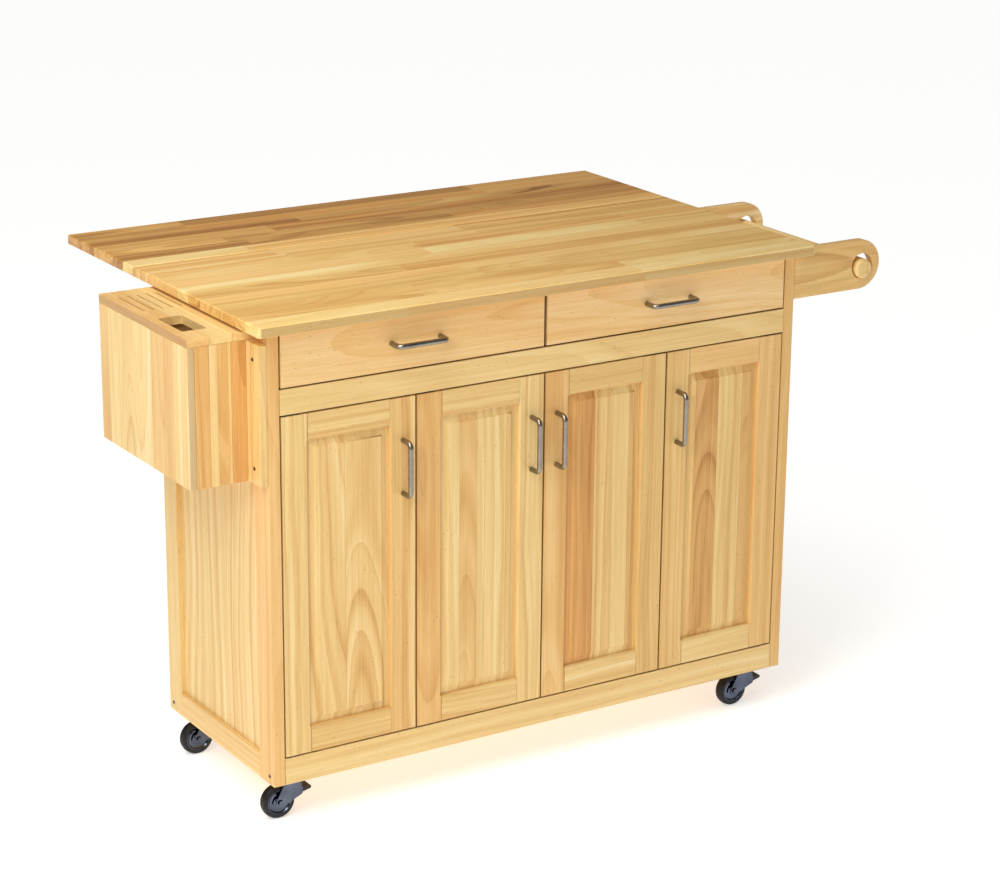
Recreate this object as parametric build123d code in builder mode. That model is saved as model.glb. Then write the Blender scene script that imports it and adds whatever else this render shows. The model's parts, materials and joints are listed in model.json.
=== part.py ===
"""Rolling kitchen island with a butcher block top, a drop leaf, a knife block and a towel rack.

Millimetres, +Z up, front towards -Y.  The origin is on the floor, in the middle of the
whole island with its leaf raised.
"""
from build123d import *
import math
import os

os.makedirs("parts", exist_ok=True)

# ---------------------------------------------------------------- driving dimensions
# Cabinet
cabinet_width = 1096.0
cabinet_depth = 414.0
total_height = 914.0
top_thickness = 18.0
top_side_overhang = 27.5
top_front_overhang = 26.0
top_back_overhang = 40.0
top_corner_radius = 7.0
top_edge_radius = 3.0
board_edge = 0.8

side_thickness = 22.0
side_front_stile = 53.0
side_rear_stile = 50.0
side_top_rail = 60.0
side_bottom_rail = 45.0
side_panel_thickness = 6.0
side_panel_recess = 8.0

bottom_rail_height = 49.0
middle_rail_height = 45.0
drawer_opening_height = 101.0
floor_thickness = 18.0
partition_thickness = 15.0
divider_thickness = 15.0
deck_thickness = 12.0
back_thickness = 6.0
caster_block_size = 70.0
shelf_thickness = 15.0
shelf_height = 430.0
shelf_front_setback = 60.0
shelf_clearance = 1.0
cleat_size = 15.0
cleat_setback = 14.0

# Doors
door_thickness = 19.0
door_back_clearance = 3.0
door_gap = 2.5
door_middle_gap = 3.0
door_stile = 50.0
door_rail = 48.0
door_moulding = 3.0
panel_edge_thickness = 6.0
panel_back_setback = 5.0
panel_field_rise = 5.0
panel_bevel = 12.0
panel_margin = 4.0
pivot_inset = 6.0
pivot_pin_radius = 2.5
pivot_clearance = 0.05
pivot_pin_depth = 8.0
pivot_plate_length = 34.0
pivot_plate_width = 10.0
pivot_plate_thickness = 1.2
bush_radius = 3.5
bush_fit = 0.02
bush_length = 9.0
catch_width = 40.0
catch_depth = 12.0
catch_drop = 10.0
catch_grip = 16.0
catch_setback = 14.0

# Pulls
pull_centres = 96.0
pull_radius = 4.75
pull_projection = 32.0
pull_bend = 10.0
door_pull_drop = 125.0

# Drawers
drawer_gap = 2.5
drawer_front_thickness = 19.0
drawer_back_clearance = 49.0
drawer_box_height = 70.0
drawer_box_lift = 10.0
drawer_board = 12.0
drawer_bottom = 5.0
drawer_bottom_lift = 4.0
runner_space = 12.5
runner_channel_depth = 10.0
runner_sheet = 1.5
runner_side_clearance = 0.5
runner_rail_clearance = 1.0
runner_height = 36.0
runner_setback = 4.0
runner_end_setback = 6.0
runner_lift = 44.0

# Drop leaf and its hinges and brackets
leaf_depth = 286.0
leaf_gap = 1.5
hinge_count = 3
hinge_width = 60.0
hinge_plate_depth = 32.0
hinge_plate_thickness = 1.6
hinge_barrel_radius = 3.0
hinge_pin_radius = 1.5
hinge_pin_clearance = 0.05
hinge_knuckle_gap = 0.4
hinge_web_start = 2.0
hinge_end_setback = 110.0
bracket_setback = 230.0
brace_pivot_drop = 60.0
brace_pivot_offset = 12.0
track_edge_setback = 34.0
brace_height = 14.0
brace_thickness = 3.0
brace_pin_radius = 3.0
brace_pin_clearance = 0.08
brace_stub_clearance = 1.0
track_pin_drop = 10.0
track_wall = 2.0
track_inner_width = 10.0
track_height = 16.0
track_end_margin = 9.0
track_slot_clearance = 0.4
wall_plate_height = 120.0
wall_channel_depth = 21.0

# Knife block on the left side
block_reach = 122.5
block_front_setback = 46.0
block_rear_setback = 20.0
block_height = 246.0
block_lid_gap = 5.0
block_lid_thickness = 15.0
block_wall = 13.0
block_back_board = 14.5
block_divider_gap = 12.0
block_screw_inset = 28.0
utensil_corner_radius = 3.0
utensil_opening_offset = 16.0
utensil_opening_width = 46.0
utensil_opening_start = 50.0
utensil_opening_length = 96.0
knife_slot_width = 3.4
knife_slot_front_gap = 30.0
knife_slot_rear_setback = 40.0
knife_slot_side_setback = 19.0
knife_slot_count = 5

# Towel rack on the right side
arm_reach = 201.0
arm_height = 94.0
arm_rise = 8.0
arm_thickness = 18.0
arm_notch_clearance = 0.8
arm_notch_reach = 3.5
arm_rear_setback = 36.0
arm_edge = 1.5
bar_hole_clearance = 5.2
bar_hole_out = 160.0
bar_hole_drop = 3.0
bar_radius = 18.8
bar_rest_clearance = 0.35
bar_protrusion = 7.0
bar_end_radius = 5.0

# Casters
wheel_radius = 31.5
wheel_crown_clearance = 7.6
wheel_width = 20.0
tyre_thickness = 8.5
tyre_edge = 3.5
hub_recess = 2.0
hub_rim = 2.5
hub_boss_radius = 7.0
axle_radius = 3.0
axle_clearance = 0.08
caster_side_setback = 54.0
caster_end_setback = 46.0
caster_trail = 25.0
caster_plate_size = 46.0
caster_plate_thickness = 2.0
caster_plate_corner = 6.0
race_radius = 17.0
race_height = 4.0
swivel_gap = 0.4
crown_thickness = 3.0
crown_radius = 18.0
kingpin_radius = 4.0
kingpin_clearance = 0.06
kingpin_tail = 2.0
leg_top_half_width = 13.0
leg_thickness = 2.2
leg_clearance = 1.6
leg_end_radius = 9.0
axle_head_radius = 5.5
axle_head_height = 3.0
lever_pivot_ahead = 13.0
lever_pivot_drop = 25.6
lever_lobe_radius = 6.5
lever_tip_reach = 62.0
lever_tip_radius = 3.4
lever_rise = 3.5
lever_side_clearance = 0.5
lever_pin_radius = 2.0
lever_pin_clearance = 0.06
lever_boss_radius = 4.5

# Screws
screw_head_radius = 3.5
screw_head_height = 1.2
screw_head_taper = 30.0
plate_screw_inset = 6.0
frame_screw_inset = 16.0

# ---------------------------------------------------------------- places from the sizes
crown_bottom = 2 * wheel_radius + wheel_crown_clearance
crown_top = crown_bottom + crown_thickness
race_bottom = crown_top + swivel_gap
plate_underside = race_bottom + race_height
caster_height = plate_underside + caster_plate_thickness
top_underside = total_height - top_thickness
front_reach = max(pull_projection, top_front_overhang)
overall_width = block_reach + cabinet_width + arm_reach
overall_depth = front_reach + cabinet_depth + top_back_overhang + leaf_gap + leaf_depth

left = -overall_width / 2 + block_reach
right = left + cabinet_width
front = -overall_depth / 2 + front_reach
back = front + cabinet_depth
rail_thickness = door_thickness + door_back_clearance
inner_left = left + side_thickness
inner_right = right - side_thickness
centre = (left + right) / 2

floor_top = caster_height + bottom_rail_height
drawer_opening_bottom = top_underside - drawer_opening_height
middle_rail_bottom = drawer_opening_bottom - middle_rail_height
deck_bottom = drawer_opening_bottom - deck_thickness
inside_back = back - back_thickness

top_front = front - top_front_overhang
top_back = back + top_back_overhang
leaf_front = top_back + leaf_gap
leaf_back = leaf_front + leaf_depth
top_left = left - top_side_overhang
top_right = right + top_side_overhang

door_opening_width = inner_right - inner_left
door_width = (door_opening_width - 2 * door_gap - 3 * door_middle_gap) / 4
door_bottom = floor_top + door_gap
door_top = middle_rail_bottom - door_gap
door_lefts = [inner_left + door_gap + i * (door_width + door_middle_gap) for i in range(4)]
door_hinged_left = [True, True, False, False]
partition_centres = [
    door_lefts[1] - door_middle_gap / 2,
    door_lefts[3] - door_middle_gap / 2,
]
compartments = [
    (inner_left, partition_centres[0] - partition_thickness / 2),
    (partition_centres[0] + partition_thickness / 2, partition_centres[1] - partition_thickness / 2),
    (partition_centres[1] + partition_thickness / 2, inner_right),
]
drawer_box_depth = cabinet_depth - drawer_front_thickness - back_thickness - drawer_back_clearance
runner_length = drawer_box_depth - runner_setback - runner_end_setback
drawer_bays = [
    (inner_left, centre - divider_thickness / 2),
    (centre + divider_thickness / 2, inner_right),
]

leaf_axis_y = top_back + leaf_gap / 2
leaf_axis_z = top_underside - hinge_barrel_radius
bracket_xs = [left + bracket_setback, right - bracket_setback]
caster_places = [
    ("front_left", left + caster_side_setback, front + caster_end_setback),
    ("front_right", right - caster_side_setback, front + caster_end_setback),
    ("rear_left", left + caster_side_setback, back - caster_end_setback),
    ("rear_right", right - caster_side_setback, back - caster_end_setback),
]


# ---------------------------------------------------------------- helpers
def save(node, *pieces):
    """Write one node, as one solid or as a group of separate solids."""
    shape = pieces[0] if len(pieces) == 1 else Compound(children=list(pieces))
    shape.label = node
    export_step(shape, f"parts/{node}.step")


def board(x, y, z, edge=board_edge):
    """A planed board between two X, two Y and two Z limits, with its edges broken."""
    with BuildPart() as piece:
        with BuildSketch(Plane.XY.offset(z[0])):
            with Locations(((x[0] + x[1]) / 2, (y[0] + y[1]) / 2)):
                Rectangle(x[1] - x[0], y[1] - y[0])
        extrude(amount=z[1] - z[0])
        if edge:
            chamfer(piece.edges(), length=edge)
    return piece.part


def screw_head(place, direction):
    """A low screw head standing on a face at a place and facing a direction."""
    with BuildPart() as piece:
        with BuildSketch(Plane(origin=place, z_dir=direction)):
            Circle(screw_head_radius)
        extrude(amount=screw_head_height, taper=screw_head_taper)
    return piece.part


def wire_pull(first, last, outward):
    """A round-bar D pull between two screw places, standing outward from their face."""
    reach = Vector(*outward) * (pull_projection - pull_radius)
    start = Vector(*first)
    end = Vector(*last)
    with BuildPart() as piece:
        with BuildLine() as path:
            FilletPolyline(start, start + reach, end + reach, end, radius=pull_bend)
        with BuildSketch(Plane(origin=start, z_dir=outward)):
            Circle(pull_radius)
        sweep(path=path.line)
    return piece.part


# ---------------------------------------------------------------- side frames
def side_frame(x):
    """Two stiles and two rails of one side, between two X limits."""
    rear_of_front_stile = front + side_front_stile
    front_of_rear_stile = back - side_rear_stile
    between = (rear_of_front_stile, front_of_rear_stile)
    return [
        board(x, (front, rear_of_front_stile), (caster_height, top_underside)),
        board(x, (front_of_rear_stile, back), (caster_height, top_underside)),
        board(x, between, (top_underside - side_top_rail, top_underside)),
        board(x, between, (caster_height, caster_height + side_bottom_rail)),
    ]


def side_panel(x):
    """The thin panel that fills one side frame, between two X limits."""
    y = (front + side_front_stile, back - side_rear_stile)
    z = (caster_height + side_bottom_rail, top_underside - side_top_rail)
    return board(x, y, z, edge=0)


save("side_frame_left", *side_frame((left, inner_left)))
save("side_frame_right", *side_frame((inner_right, right)))
left_panel_face = left + side_panel_recess
right_panel_face = right - side_panel_recess
save(
    "side_panels",
    side_panel((left_panel_face, left_panel_face + side_panel_thickness)),
    side_panel((right_panel_face - side_panel_thickness, right_panel_face)),
)

# ---------------------------------------------------------------- cabinet inside
carcass_depth = (front + rail_thickness, inside_back)
floor_bottom = floor_top - floor_thickness


def caster_block(x, y):
    """The block in a corner under the floor that one caster plate is screwed to."""
    block_x = (inner_left, inner_left + caster_block_size)
    if x > centre:
        block_x = (inner_right - caster_block_size, inner_right)
    block_y = (carcass_depth[0], carcass_depth[0] + caster_block_size)
    if y > (front + back) / 2:
        block_y = (carcass_depth[1] - caster_block_size, carcass_depth[1])
    return board(block_x, block_y, (caster_height, floor_bottom))


save(
    "cabinet_floor",
    board((inner_left, inner_right), carcass_depth, (floor_bottom, floor_top)),
    *[caster_block(x, y) for _, x, y in caster_places],
)

upright_height = (floor_top, deck_bottom)
uprights = [
    board((x - partition_thickness / 2, x + partition_thickness / 2), carcass_depth, upright_height)
    for x in partition_centres
]
divider_x = (centre - divider_thickness / 2, centre + divider_thickness / 2)
divider_height = (drawer_opening_bottom, top_underside)
save("partitions", *uprights, board(divider_x, carcass_depth, divider_height))
save("drawer_deck", board((inner_left, inner_right), carcass_depth, (deck_bottom, drawer_opening_bottom)))

save(
    "back_panel",
    board((inner_left, inner_right), (inside_back, back), (caster_height, top_underside), edge=0),
)


def shelf(bay):
    """The shelf of one compartment."""
    x = (bay[0] + shelf_clearance, bay[1] - shelf_clearance)
    y = (front + shelf_front_setback, inside_back - shelf_clearance)
    return board(x, y, (shelf_height, shelf_height + shelf_thickness))


def shelf_cleats(bay):
    """The two cleats that carry one shelf."""
    y = (front + shelf_front_setback + cleat_setback, inside_back - cleat_setback)
    z = (shelf_height - cleat_size, shelf_height)
    return [board((bay[0], bay[0] + cleat_size), y, z), board((bay[1] - cleat_size, bay[1]), y, z)]


save("shelves", *[shelf(bay) for bay in compartments])
save("shelf_cleats", *[cleat for bay in compartments for cleat in shelf_cleats(bay)])

# ---------------------------------------------------------------- face rails and pivots
def pivot_place(i):
    """Where the pivot axis of door i stands, as X and Y."""
    if door_hinged_left[i]:
        return door_lefts[i] + pivot_inset, front + pivot_inset
    return door_lefts[i] + door_width - pivot_inset, front + pivot_inset


def face_rail(z, socket_z):
    """A face rail with a socket for each door bush, opening at its inner edge."""
    with BuildPart() as piece:
        add(board((inner_left, inner_right), (front, front + rail_thickness), z))
        for i in range(4):
            x, y = pivot_place(i)
            with BuildSketch(Plane.XY.offset(socket_z)):
                with Locations((x, y)):
                    Circle(bush_radius + bush_fit)
            extrude(amount=bush_length, mode=Mode.SUBTRACT)
    return piece.part


def door_bush(i, z):
    """The brass bush of one door pivot, standing up from height z."""
    x, y = pivot_place(i)
    with BuildPart() as piece:
        with BuildSketch(Plane.XY.offset(z)):
            with Locations((x, y)):
                Circle(bush_radius)
                Circle(pivot_pin_radius + pivot_clearance, mode=Mode.SUBTRACT)
        extrude(amount=bush_length)
    return piece.part


low_bush = floor_top - bush_length
save(
    "face_rails",
    face_rail((caster_height, floor_top), low_bush),
    face_rail((middle_rail_bottom, drawer_opening_bottom), middle_rail_bottom),
)
save("door_bushes", *[door_bush(i, z) for i in range(4) for z in (low_bush, middle_rail_bottom)])


# ---------------------------------------------------------------- doors
def door_catch(i):
    """The magnetic catch behind the middle rail, at the free edge of door i."""
    free = door_lefts[i] + door_width if door_hinged_left[i] else door_lefts[i]
    side = -1 if door_hinged_left[i] else 1
    near = free + side * catch_setback
    x = sorted((near, near + side * catch_width))
    y = (front + rail_thickness, front + rail_thickness + catch_depth)
    return board(x, y, (middle_rail_bottom - catch_drop, middle_rail_bottom + catch_grip), edge=0)


def door_upright(x, inner_x):
    """A door stile with the small moulding cut along its inner front edge."""
    outward = 1 if inner_x == x[0] else -1
    z = (door_bottom + door_rail, door_top - door_rail)
    with BuildPart() as piece:
        add(board(x, (front, front + door_thickness), (door_bottom, door_top)))
        with BuildSketch(Plane.XY.offset(z[0])):
            with BuildLine():
                Polyline(
                    (inner_x, front),
                    (inner_x + outward * door_moulding, front),
                    (inner_x, front + door_moulding),
                    close=True,
                )
            make_face()
        extrude(amount=z[1] - z[0], mode=Mode.SUBTRACT)
    return piece.part


def door_crosspiece(x, z, inner_z):
    """A door rail with the small moulding cut along its inner front edge."""
    upward = 1 if inner_z == z[0] else -1
    with BuildPart() as piece:
        add(board(x, (front, front + door_thickness), z))
        with BuildSketch(Plane.YZ.offset(x[0])):
            with BuildLine():
                Polyline(
                    (front, inner_z),
                    (front, inner_z + upward * door_moulding),
                    (front + door_moulding, inner_z),
                    close=True,
                )
            make_face()
        extrude(amount=x[1] - x[0], mode=Mode.SUBTRACT)
    return piece.part


def raised_panel(x, z):
    """A door panel with a thin edge and a raised field that slopes down to it."""
    edge_front = front + door_thickness - panel_back_setback - panel_edge_thickness
    middle = ((x[0] + x[1]) / 2, (z[0] + z[1]) / 2)
    width = x[1] - x[0]
    height = z[1] - z[0]
    with BuildPart() as piece:
        with BuildSketch(Plane.XZ.offset(-edge_front - panel_edge_thickness)):
            with Locations(middle):
                Rectangle(width, height)
        extrude(amount=panel_edge_thickness)
        with BuildSketch(Plane.XZ.offset(-edge_front)):
            with Locations(middle):
                Rectangle(width - 2 * panel_margin, height - 2 * panel_margin)
        slope = math.degrees(math.atan2(panel_bevel, panel_field_rise))
        extrude(amount=panel_field_rise, taper=slope)
    return piece.part


def pivot_pin(i, z, upward):
    """A pivot plate on a door's end edge, with the pin that turns in the bush."""
    x, y = pivot_place(i)
    inward = 1 if door_hinged_left[i] else -1
    half = pivot_plate_width / 2
    middle_x = x + inward * (pivot_plate_length / 2 - half)
    with BuildPart() as piece:
        with BuildSketch(Plane.XY.offset(z)):
            with Locations((middle_x, y)):
                Rectangle(pivot_plate_length, pivot_plate_width)
        extrude(amount=upward * pivot_plate_thickness)
        with BuildSketch(Plane.XY.offset(z)):
            with Locations((x, y)):
                Circle(pivot_pin_radius)
        extrude(amount=upward * (door_gap + pivot_pin_depth))
    return piece.part


for i in range(4):
    door_x = (door_lefts[i], door_lefts[i] + door_width)
    opening_x = (door_x[0] + door_stile, door_x[1] - door_stile)
    opening_z = (door_bottom + door_rail, door_top - door_rail)
    door = f"door_{i + 1}"
    save(
        f"{door}_frame",
        door_upright((door_x[0], opening_x[0]), opening_x[0]),
        door_upright((opening_x[1], door_x[1]), opening_x[1]),
        door_crosspiece(opening_x, (door_bottom, opening_z[0]), opening_z[0]),
        door_crosspiece(opening_x, (opening_z[1], door_top), opening_z[1]),
    )
    save(f"{door}_panel", raised_panel(opening_x, opening_z))
    save(f"{door}_pivots", pivot_pin(i, door_top, 1), pivot_pin(i, door_bottom, -1))
    pull_x = door_x[1] - door_stile / 2 if door_hinged_left[i] else door_x[0] + door_stile / 2
    pull_z = door_top - door_pull_drop
    save(
        f"{door}_pull",
        wire_pull(
            (pull_x, front, pull_z - pull_centres / 2),
            (pull_x, front, pull_z + pull_centres / 2),
            (0, -1, 0),
        ),
    )
save("door_catches", *[door_catch(i) for i in range(4)])


# ---------------------------------------------------------------- drawers
runner_z = drawer_opening_bottom + runner_lift


def fixed_runner(wall_x, inward):
    """The channel on the cabinet that one drawer rail slides in."""
    middle_x = wall_x + inward * runner_channel_depth / 2
    hollow_x = wall_x + inward * (runner_sheet + runner_channel_depth) / 2
    with BuildPart() as piece:
        with BuildSketch(Plane.XZ.offset(-front - drawer_front_thickness - runner_setback - runner_length)):
            with Locations((middle_x, runner_z)):
                Rectangle(runner_channel_depth, runner_height)
            with Locations((hollow_x, runner_z)):
                Rectangle(
                    runner_channel_depth - runner_sheet,
                    runner_height - 2 * runner_sheet,
                    mode=Mode.SUBTRACT,
                )
        extrude(amount=runner_length)
    return piece.part


def moving_runner(box_x, outward):
    """The rail on a drawer's side that slides in the channel."""
    depth = runner_space - runner_sheet - runner_side_clearance
    x = sorted((box_x, box_x + outward * depth))
    half = runner_height / 2 - runner_sheet - runner_rail_clearance
    start = front + drawer_front_thickness + runner_setback
    y = (start, start + runner_length)
    return board(x, y, (runner_z - half, runner_z + half), edge=0.5)


def drawer_box(x):
    """The sides, inner front, back and bottom of a drawer between two X limits."""
    z = (drawer_opening_bottom + drawer_box_lift, drawer_opening_bottom + drawer_box_lift + drawer_box_height)
    y = (front + drawer_front_thickness, front + drawer_front_thickness + drawer_box_depth)
    between_x = (x[0] + drawer_board, x[1] - drawer_board)
    bottom_z = (z[0] + drawer_bottom_lift, z[0] + drawer_bottom_lift + drawer_bottom)
    return [
        board((x[0], between_x[0]), y, z),
        board((between_x[1], x[1]), y, z),
        board(between_x, (y[0], y[0] + drawer_board), z),
        board(between_x, (y[1] - drawer_board, y[1]), z),
        board(between_x, (y[0] + drawer_board, y[1] - drawer_board), bottom_z, edge=0),
    ]


drawer_names = ("left_drawer", "right_drawer")
drawer_front_limits = (
    (inner_left + drawer_gap, centre - drawer_gap),
    (centre + drawer_gap, inner_right - drawer_gap),
)
runners = []
for name, bay, face_x in zip(drawer_names, drawer_bays, drawer_front_limits):
    face_z = (drawer_opening_bottom + drawer_gap, top_underside - drawer_gap)
    save(f"{name}_front", board(face_x, (front, front + drawer_front_thickness), face_z))
    box_x = (bay[0] + runner_space, bay[1] - runner_space)
    save(f"{name}_box", *drawer_box(box_x))
    save(f"{name}_runners", moving_runner(box_x[0], -1), moving_runner(box_x[1], 1))
    runners += [fixed_runner(bay[0], 1), fixed_runner(bay[1], -1)]
    pull_x = (face_x[0] + face_x[1]) / 2
    pull_z = (face_z[0] + face_z[1]) / 2
    save(
        f"{name}_pull",
        wire_pull(
            (pull_x - pull_centres / 2, front, pull_z),
            (pull_x + pull_centres / 2, front, pull_z),
            (0, -1, 0),
        ),
    )
save("drawer_channels", *runners)

# ---------------------------------------------------------------- main top and drop leaf
with BuildPart() as main_top:
    with BuildSketch(Plane.XY.offset(top_underside)):
        with Locations(((top_left + top_right) / 2, (top_front + top_back) / 2)):
            Rectangle(top_right - top_left, top_back - top_front)
    extrude(amount=top_thickness)
    fillet(main_top.edges().filter_by(Axis.Z).group_by(Axis.Y)[0], radius=top_corner_radius)
    fillet(main_top.faces().sort_by(Axis.Z)[-1].edges(), radius=top_edge_radius)
    chamfer(main_top.faces().sort_by(Axis.Z)[0].edges(), length=board_edge)
save("main_top", main_top.part)

with BuildPart() as drop_leaf:
    with BuildSketch(Plane.XY.offset(top_underside)):
        with Locations(((top_left + top_right) / 2, (leaf_front + leaf_back) / 2)):
            Rectangle(top_right - top_left, leaf_depth)
    extrude(amount=top_thickness)
    fillet(drop_leaf.faces().sort_by(Axis.Z)[-1].edges(), radius=top_edge_radius)
    chamfer(drop_leaf.faces().sort_by(Axis.Z)[0].edges(), length=board_edge)
save("drop_leaf", drop_leaf.part)

hinge_span = top_right - top_left - 2 * hinge_end_setback
hinge_xs = [top_left + hinge_end_setback + hinge_span * i / (hinge_count - 1) for i in range(hinge_count)]
knuckle_length = hinge_width / 3


def hinge_plate(x, toward):
    """A hinge plate lying under a board, from the hinge line toward -Y or +Y."""
    with BuildPart() as piece:
        with BuildSketch(Plane.XY.offset(top_underside - hinge_plate_thickness)):
            with Locations((x, leaf_axis_y + toward * (hinge_plate_depth + hinge_barrel_radius) / 2)):
                Rectangle(hinge_width, hinge_plate_depth - hinge_barrel_radius)
        extrude(amount=hinge_plate_thickness)
    return piece.part


def knuckle(x, length, bore):
    """A barrel of the leaf hinge about the hinge line, centred on X."""
    with BuildPart() as piece:
        with BuildSketch(Plane.YZ.offset(x - length / 2)):
            with Locations((leaf_axis_y, leaf_axis_z)):
                Circle(hinge_barrel_radius)
                if bore:
                    Circle(bore, mode=Mode.SUBTRACT)
        extrude(amount=length)
    return piece.part


def knuckle_web(x, length, toward):
    """The strip that joins a knuckle to its plate."""
    far = leaf_axis_y + toward * (hinge_barrel_radius + 1)
    near = leaf_axis_y + toward * hinge_web_start
    y = sorted((near, far))
    z = (top_underside - hinge_plate_thickness, top_underside)
    return board((x - length / 2, x + length / 2), y, z, edge=0)


def fixed_hinge(x):
    """The hinge half under the main top: plate, two end knuckles and the pin."""
    end_length = knuckle_length - hinge_knuckle_gap
    offset = (hinge_width - end_length) / 2
    with BuildPart() as piece:
        add(hinge_plate(x, -1))
        for side in (-1, 1):
            add(knuckle(x + side * offset, end_length, 0))
            add(knuckle_web(x + side * offset, end_length, -1))
        with BuildSketch(Plane.YZ.offset(x - hinge_width / 2)):
            with Locations((leaf_axis_y, leaf_axis_z)):
                Circle(hinge_pin_radius)
        extrude(amount=hinge_width)
    return piece.part


def moving_hinge(x):
    """The hinge half under the drop leaf: plate and the bored middle knuckle."""
    with BuildPart() as piece:
        add(hinge_plate(x, 1))
        add(knuckle_web(x, knuckle_length, 1))
        add(knuckle(x, knuckle_length, 0))
        with BuildSketch(Plane.YZ.offset(x - knuckle_length / 2)):
            with Locations((leaf_axis_y, leaf_axis_z)):
                Circle(hinge_pin_radius + hinge_pin_clearance)
        extrude(amount=knuckle_length, mode=Mode.SUBTRACT)
    return piece.part


save("leaf_hinges_fixed", *[fixed_hinge(x) for x in hinge_xs])
save("leaf_hinges_moving", *[moving_hinge(x) for x in hinge_xs])

# ---------------------------------------------------------------- folding leaf brackets
brace_y = back + brace_pivot_offset
brace_z = leaf_axis_z - brace_pivot_drop
track_line_z = top_underside - track_pin_drop
track_end = leaf_back - track_edge_setback
hanging_offset = leaf_axis_y + (track_line_z - leaf_axis_z) - brace_y
hanging_drop = track_end - track_end_margin - leaf_axis_y - brace_pivot_drop
brace_length = math.hypot(hanging_offset, hanging_drop)
brace_rise = track_line_z - brace_z
brace_run = math.sqrt(brace_length**2 - brace_rise**2)
brace_end_y = brace_y + brace_run
brace_fold = math.degrees(math.atan2(brace_rise, brace_run) + math.atan2(hanging_drop, hanging_offset))
track_start = brace_end_y - track_end_margin
print(f"leaf hinge line y {leaf_axis_y:.3f} z {leaf_axis_z:.3f}")
print(f"brace pivot y {brace_y:.3f} z {brace_z:.3f}, folds {brace_fold:.3f} degrees")


def wall_bracket(x):
    """The channel on the cabinet back that holds one brace on its pin."""
    half = track_inner_width / 2 + track_wall
    z = (brace_z - wall_plate_height / 2, brace_z + wall_plate_height / 2)
    with BuildPart() as piece:
        add(board((x - half, x + half), (back, back + wall_channel_depth), z, edge=0))
        inner = track_inner_width / 2
        y = (back + track_wall, back + wall_channel_depth)
        add(board((x - inner, x + inner), y, z, edge=0), mode=Mode.SUBTRACT)
        with BuildSketch(Plane.YZ.offset(x - half)):
            with Locations((brace_y, brace_z)):
                Circle(brace_pin_radius)
        extrude(amount=2 * half)
    return piece.part


def brace_arm(x):
    """The flat brace, bored for its wall pin, with the pin stub of its outer end."""
    middle = (x - brace_thickness / 2, brace_y + brace_run / 2, brace_z + brace_rise / 2)
    along = (0, brace_run, brace_rise)
    stub = track_inner_width / 2 - brace_stub_clearance
    with BuildPart() as piece:
        with BuildSketch(Plane(origin=middle, x_dir=along, z_dir=(1, 0, 0))):
            SlotCenterToCenter(brace_length, brace_height)
            with Locations((-brace_length / 2, 0)):
                Circle(brace_pin_radius + brace_pin_clearance, mode=Mode.SUBTRACT)
        extrude(amount=brace_thickness)
        with BuildSketch(Plane.YZ.offset(x - stub)):
            with Locations((brace_end_y, track_line_z)):
                Circle(brace_pin_radius)
        extrude(amount=2 * stub)
    return piece.part


def leaf_track(x):
    """The slotted channel under the leaf that the brace pin runs along."""
    half = track_inner_width / 2 + track_wall
    inner = track_inner_width / 2
    z = (top_underside - track_height, top_underside)
    y = (track_start, track_end)
    with BuildPart() as piece:
        add(board((x - half, x + half), y, z, edge=0))
        hollow_z = (z[0], z[1] - track_wall)
        add(board((x - inner, x + inner), y, hollow_z, edge=0), mode=Mode.SUBTRACT)
        slot_length = track_end - track_start - 2 * track_end_margin
        with BuildSketch(Plane.YZ.offset(x - half)):
            with Locations(((track_start + track_end) / 2, track_line_z)):
                SlotCenterToCenter(slot_length, 2 * (brace_pin_radius + track_slot_clearance))
        extrude(amount=2 * half, mode=Mode.SUBTRACT)
    return piece.part


save("bracket_wall_channels", *[wall_bracket(x) for x in bracket_xs])
save("bracket_braces", *[brace_arm(x) for x in bracket_xs])
save("bracket_leaf_tracks", *[leaf_track(x) for x in bracket_xs])

# ---------------------------------------------------------------- knife block
block_left = left - block_reach
block_front = front + block_front_setback
block_rear = back - block_rear_setback
lid_top = top_underside - block_lid_gap
lid_bottom = lid_top - block_lid_thickness
block_bottom = lid_bottom - block_height
block_inner_x = (block_left + block_wall, left - block_back_board)
block_z = (block_bottom, lid_bottom)
utensil_x = (
    block_left + utensil_opening_offset,
    block_left + utensil_opening_offset + utensil_opening_width,
)
utensil_y = (
    block_front + utensil_opening_start,
    block_front + utensil_opening_start + utensil_opening_length,
)
block_divider_y = (utensil_y[1] + block_divider_gap, utensil_y[1] + block_divider_gap + block_wall)
knife_slot_y = (block_divider_y[1] + knife_slot_front_gap, block_rear - knife_slot_rear_setback)
knife_slot_x = (block_left + knife_slot_side_setback, block_inner_x[1] - knife_slot_side_setback)
knife_slot_pitch = (knife_slot_x[1] - knife_slot_x[0]) / (knife_slot_count - 1)

save(
    "knife_block_walls",
    board((left - block_back_board, left), (front, block_rear), block_z),
    board((block_left, block_left + block_wall), (block_front, block_rear), block_z),
    board(block_inner_x, (block_front, block_front + block_wall), block_z),
    board(block_inner_x, (block_rear - block_wall, block_rear), block_z),
    board(block_inner_x, block_divider_y, (block_bottom + block_wall, lid_bottom)),
    board(
        block_inner_x,
        (block_front + block_wall, block_rear - block_wall),
        (block_bottom, block_bottom + block_wall),
    ),
)

with BuildPart() as knife_block_lid:
    add(board((block_left, left), (block_front, block_rear), (lid_bottom, lid_top)))
    with BuildSketch(Plane.XY.offset(lid_bottom)):
        with Locations((sum(utensil_x) / 2, sum(utensil_y) / 2)):
            RectangleRounded(utensil_opening_width, utensil_opening_length, utensil_corner_radius)
        for i in range(knife_slot_count):
            with Locations((knife_slot_x[0] + i * knife_slot_pitch, sum(knife_slot_y) / 2)):
                Rectangle(knife_slot_width, knife_slot_y[1] - knife_slot_y[0])
    extrude(amount=block_lid_thickness, mode=Mode.SUBTRACT)
save("knife_block_lid", knife_block_lid.part)

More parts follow.
